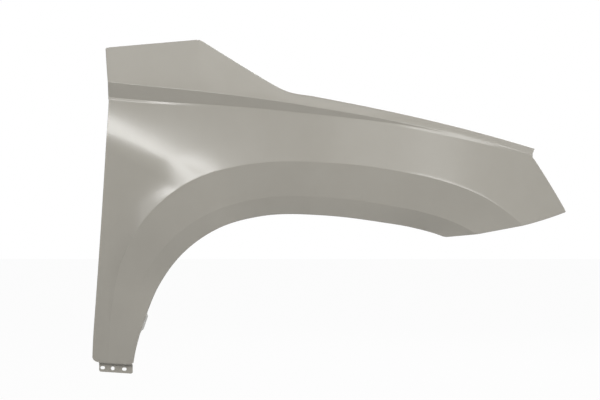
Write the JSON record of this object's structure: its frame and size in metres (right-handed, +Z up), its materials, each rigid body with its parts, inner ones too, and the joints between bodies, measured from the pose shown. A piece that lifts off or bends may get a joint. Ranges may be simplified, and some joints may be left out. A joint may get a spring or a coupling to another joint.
{
  "type": "car front fender",
  "caption": "Right-hand front fender pressed from sheet steel, with a flared wheel arch, creased shoulder, gutter beside the hood and folded, pierced flanges.",
  "frame": {"origin": "middle of the bolting pad's underside, in the gutter beside the hood, just ahead of the cowl", "axes": "+X towards the front of the car, +Z up, +Y inboard, so the painted side faces -Y"},
  "size_m": [1.1749, 0.214, 0.8137],
  "materials": {
    "grey_primer": "satin warm grey dip primer over steel sheet, unpainted service panel"
  },
  "bodies": {
    "root": {"fender_panel": "grey_primer"}
  },
  "joints": []
}
